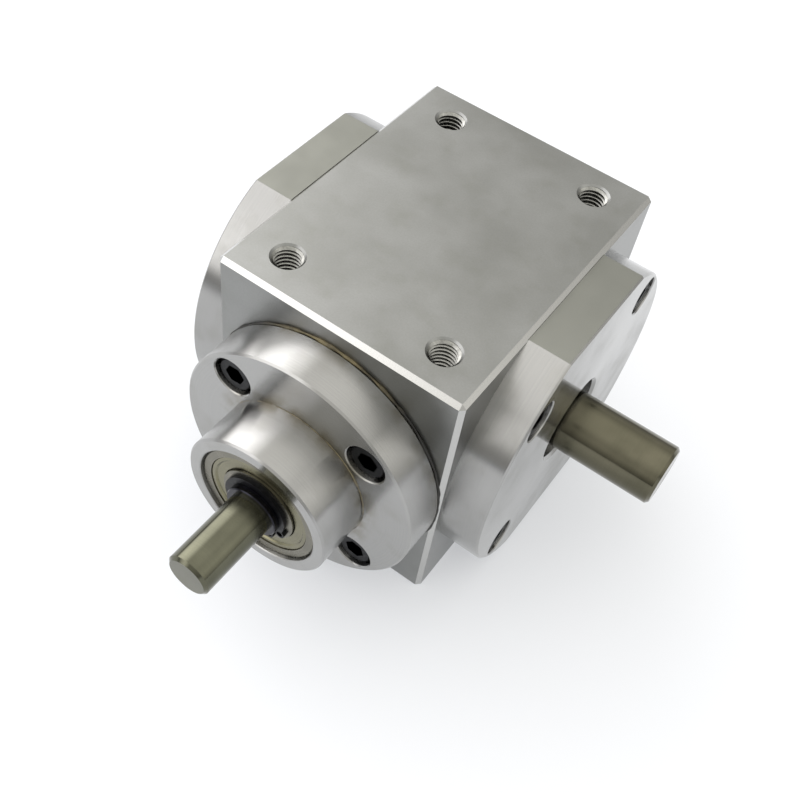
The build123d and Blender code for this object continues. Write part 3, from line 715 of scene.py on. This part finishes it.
# The hub's oil is amber all the way round, so both of its heights lie below the hub
hub_oil = oil("amber_oil", roughness=0.2, wet=0.4, amber_above=20 * mm, dark_below=10 * mm)
oil_line("hub_oil_line", hub_oil, radius=21.05 * mm, front=58.52 * mm, thickness=0.16 * mm,
         swelling=0.35 * mm, fullness=0.52, aside=0.2 * mm, upwards=-0.067 * mm)
seam_oil = oil("old_sealant", roughness=0.55, wet=0.0, amber_above=75.4 * mm, dark_below=69 * mm)
oil_line("seam_oil_line", seam_oil, radius=34.72 * mm, front=46.25 * mm, thickness=0.42 * mm,
         swelling=0.9 * mm, fullness=0.5, aside=0.08 * mm, upwards=0.25 * mm)

# %% [markdown]
# A pale floor in a bright room. Metal shows what it reflects, so the room matters more here than any lamp,
# and it alone lights the gearbox. A wall of windows fills its left side, from low down to overhead. The
# other walls are dim, so rims and shafts get dark bands between the bright ones. Two soft spots make the
# window's far end and the right wall brighter. The floor glows a little, which keeps shadows soft and pale.

# %% Floor
floor_width = 8
# Where the painted falloff of light on the floor begins and ends, in metres from the middle
painted_falloff_from = 0.45
painted_falloff_to = 1.6
glow_part = 0.4
glow_strength = 1.15
bpy.ops.object.select_all(action="DESELECT")
bpy.ops.mesh.primitive_plane_add(size=floor_width, location=(0, 0, low.z))
floor = bpy.context.object
floor.name = "floor"
floor_material, tree, shader = new_finish("white_paper", 0.7, 0.0)
place = node(tree, "TexCoord", {}, "Object")
away = node(tree, "VectorMath", {0: place}, "Value", operation="LENGTH")
# The floor's colour greys from the gearbox outwards: a painted falloff of the light, which also dims its glow
pale = layered(tree, srgb("#E8EAEE"), (away, painted_falloff_from, painted_falloff_to, 1.0, "#8A8C90"))
feed(tree, shader, {"Base Color": pale})
seen = 0.0
for ray in ("Is Camera Ray", "Is Glossy Ray", "Is Transmission Ray"):
    seen = node(tree, "Math", {0: seen, 1: node(tree, "LightPath", {}, ray)}, operation="ADD")
glow_share = node(tree, "Math", {0: seen, 1: glow_part}, operation="MULTIPLY")
glow = node(tree, "Emission", {"Color": pale, "Strength": glow_strength})
paper = node(tree, "MixShader", {0: glow_share, 1: shader.outputs[0], 2: glow})
feed(tree, tree.nodes["Material Output"], {"Surface": paper})
floor.data.materials.append(floor_material)
print("floor at", round(low.z, 4))

# %% Walls of the room
world = bpy.data.worlds.new("room")
bpy.context.scene.world = world
world.use_nodes = True
tree = world.node_tree
direction = node(tree, "TexCoord", {}, "Generated")
up_part = node(tree, "SeparateXYZ", {0: direction}, "Z")


def wall(rising_from, rising_to, horizon, high_up, changing_from, changing_to, change):
    """Brightness of a wall by height: it goes from the horizon's to the one high up, then changes again."""
    inputs = {"Value": up_part, "From Min": rising_from, "From Max": rising_to}
    lower = node(tree, "MapRange", {**inputs, "To Min": horizon, "To Max": high_up})
    inputs = {"Value": up_part, "From Min": changing_from, "From Max": changing_to, "To Max": change}
    return node(tree, "Math", {0: lower, 1: node(tree, "MapRange", inputs)}, operation="ADD")


window_light = wall(rising_from=0.07, rising_to=0.22, horizon=0.45, high_up=2.6,
                    changing_from=0.5, changing_to=0.85, change=-0.85)
room_light = wall(rising_from=0.05, rising_to=0.42, horizon=0.45, high_up=0.93,
                  changing_from=0.6, changing_to=0.9, change=0.5)
# The window wall begins at the front left, so it leans a little that way and upwards
window_side = (-1.0, -0.17, 0.2)
leaned = node(tree, "VectorMath", {0: direction, 1: window_side}, "Value", operation="DOT_PRODUCT")
window_wall = node(tree, "MapRange", {"Value": leaned, "From Min": 0.42, "From Max": 0.64})
brightness = node(tree, "Mix", {"Factor": window_wall, "A": room_light, "B": window_light}, "Result")
print("room with its walls")

# %% Bright spots of the room
bright_spots = {
    "right wall": (Vector((0.93, 0.2, 0.33)), 0.8, 0.55),
    "far end of the window": (Vector((-0.76, 0.35, 0.55)), 0.86, 1.1),
}
full_within = 0.98
for toward, edge, strength in bright_spots.values():
    inputs = {0: direction, 1: toward.normalized()}
    nearness = node(tree, "VectorMath", inputs, "Value", operation="DOT_PRODUCT")
    inputs = {"Value": nearness, "From Min": edge, "From Max": full_within, "To Max": strength}
    brightness = node(tree, "Math", {0: brightness, 1: node(tree, "MapRange", inputs)}, operation="ADD")
tint = layered(tree, srgb("#FFFDF7"), (window_wall, 0.0, 1.0, 1.0, "#FFFDFC"))
feed(tree, tree.nodes["Background"], {"Color": tint, "Strength": brightness})
print("room of", len(tree.nodes), "nodes")

# %% [markdown]
# The camera stands where the photograph was taken, worked out from the corners of the block, its holes and
# the ends of the shafts: above the front right corner, about 0.3 m away, looking steeply down.

# %% Camera
right = Vector((0.80966, 0.57685, 0.10815)).normalized()
forward = Vector((-0.28478, 0.54728, -0.78701)).normalized()
up = right.cross(forward)
camera_place = (0.08701, -0.17619, 0.25967)
focal_length = 47.36
camera_data = bpy.data.cameras.new("camera")
camera_data.sensor_width = 36
camera_data.lens = focal_length
camera_data.clip_start = 0.01
camera = bpy.data.objects.new("camera", camera_data)
turn = Matrix((right, up, -forward)).transposed().to_4x4()
camera.matrix_world = Matrix.Translation(camera_place) @ turn
bpy.context.scene.collection.objects.link(camera)
bpy.context.scene.camera = camera
bpy.context.scene.view_settings.view_transform = "Standard"
print("camera", round(Vector(camera_place).length, 3), "m from the origin")
